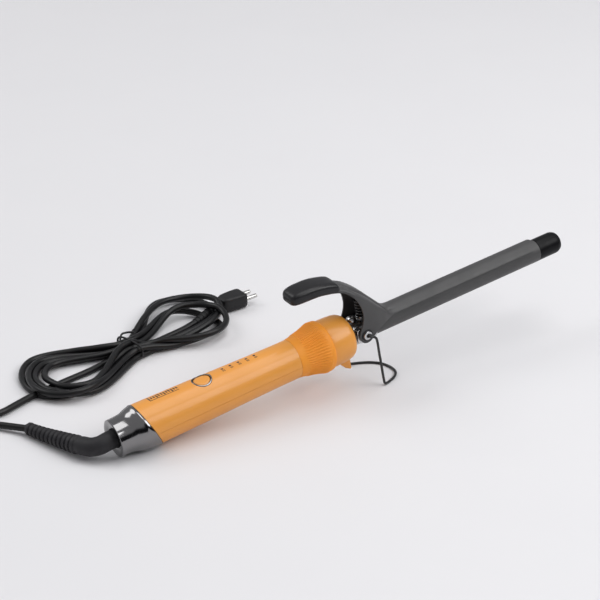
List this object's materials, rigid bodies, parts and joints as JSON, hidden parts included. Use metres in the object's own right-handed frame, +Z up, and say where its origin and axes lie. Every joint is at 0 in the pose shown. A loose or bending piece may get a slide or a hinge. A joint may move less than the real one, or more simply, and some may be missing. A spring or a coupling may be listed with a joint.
{
  "type": "curling iron",
  "caption": "Slim curling iron with tapered handle, ribbed collar, sprung clip with thumb rest, folding wire stand, cool tip, swivel boot, tied cord and two-pin plug.",
  "frame": {"origin": "middle of the iron's own extent, without the free cord, on the surface it rests on", "axes": "+X from the cord end towards the cool tip, +Y to the side where the cord lies, +Z up from the surface"},
  "size_m": [0.4705, 0.1907, 0.0842],
  "materials": {
    "orange_gloss": "glossy orange moulded plastic with a fine satin grain",
    "orange_satin": "satin orange moulded plastic",
    "dark_chrome": "dark chrome plating",
    "steel": "bright plated steel",
    "barrel_coating": "dark grey satin coating on metal",
    "tip_black": "gloss black heat-resistant plastic",
    "aluminium": "bare aluminium",
    "ceramic": "unglazed technical ceramic",
    "matte_black": "matte black plastic",
    "black_wire": "black painted spring wire",
    "lens": "dark translucent lens",
    "board": "green circuit board laminate",
    "copper_film": "amber film capacitor casing",
    "lead_sleeve": "woven glass-fibre sleeving",
    "brass": "bare brass",
    "rubber": "dark grey soft rubber",
    "cord": "black soft cable sheath",
    "plug_black": "black moulded plug",
    "plug_pin": "bright nickel plating"
  },
  "bodies": {
    "handle": {"handle_shell_upper": "orange_gloss", "handle_shell_lower": "orange_gloss", "ribbed_collar": "orange_satin", "front_ring": "orange_gloss", "rear_cap": "dark_chrome", "shell_screw_1": "steel", "shell_screw_2": "steel", "screw_boss_1": "orange_satin", "screw_boss_2": "orange_satin", "barrel": "barrel_coating", "cool_tip": "tip_black", "heat_spreader_upper": "aluminium", "heat_spreader_lower": "aluminium", "ptc_element_1": "ceramic", "ptc_element_2": "ceramic", "ptc_element_3": "ceramic", "thermal_fuse": "ceramic", "insulating_sleeve": "ceramic", "barrel_seat": "matte_black", "lever_spring": "steel", "barrel_bracket": "steel", "pivot_eyelet_near": "steel", "pivot_eyelet_far": "steel", "pivot_washer_near": "matte_black", "pivot_washer_far": "matte_black", "button_bezel": "dark_chrome", "indicator_1": "lens", "indicator_2": "lens", "indicator_3": "lens", "indicator_4": "lens", "indicator_5": "lens", "circuit_board": "board", "tact_switch": "matte_black", "capacitor": "copper_film", "triac": "matte_black", "relay_block": "matte_black", "heater_lead_near": "lead_sleeve", "heater_lead_far": "lead_sleeve", "swivel_holder": "matte_black", "contact_sleeve": "brass", "cord_lead": "cord", "cord_hank": "cord", "plug_body": "plug_black", "plug_pin_near": "plug_pin", "plug_pin_far": "plug_pin"},
    "clip": {"clip_lever": "barrel_coating", "thumb_rest": "matte_black"},
    "stand": {"wire_stand": "black_wire"},
    "button": {"power_button": "orange_gloss"},
    "swivel": {"swivel_core": "matte_black", "cord_boot": "rubber"}
  },
  "joints": [
    {"name": "clip_pivot", "type": "hinge", "parent": "handle", "child": "clip", "pos_m": [0.02553, -0.017, 0.03922], "axis": [0, -1, 0], "range_deg": [0, 20], "stiffness_Nm_per_rad": 0.25, "springref_deg": -34.38, "deforming": ["lever_spring"]},
    {"name": "stand_pivot", "type": "hinge", "parent": "handle", "child": "stand", "pos_m": [0.02553, -0.017, 0.03922], "axis": [0, 1, 0], "range_deg": [0, 70]},
    {"name": "button_press", "type": "slide", "parent": "handle", "child": "button", "axis": [0.1323, 0, -0.9912], "range_m": [0, 0.0006], "stiffness_N_per_m": 600, "springref_m": -0.0006},
    {"name": "cord_swivel", "type": "hinge", "parent": "handle", "child": "swivel", "pos_m": [-0.16022, -0.017, 0.01292], "axis": [0.9912, 0, 0.1323], "range_deg": [0, 35]}
  ]
}
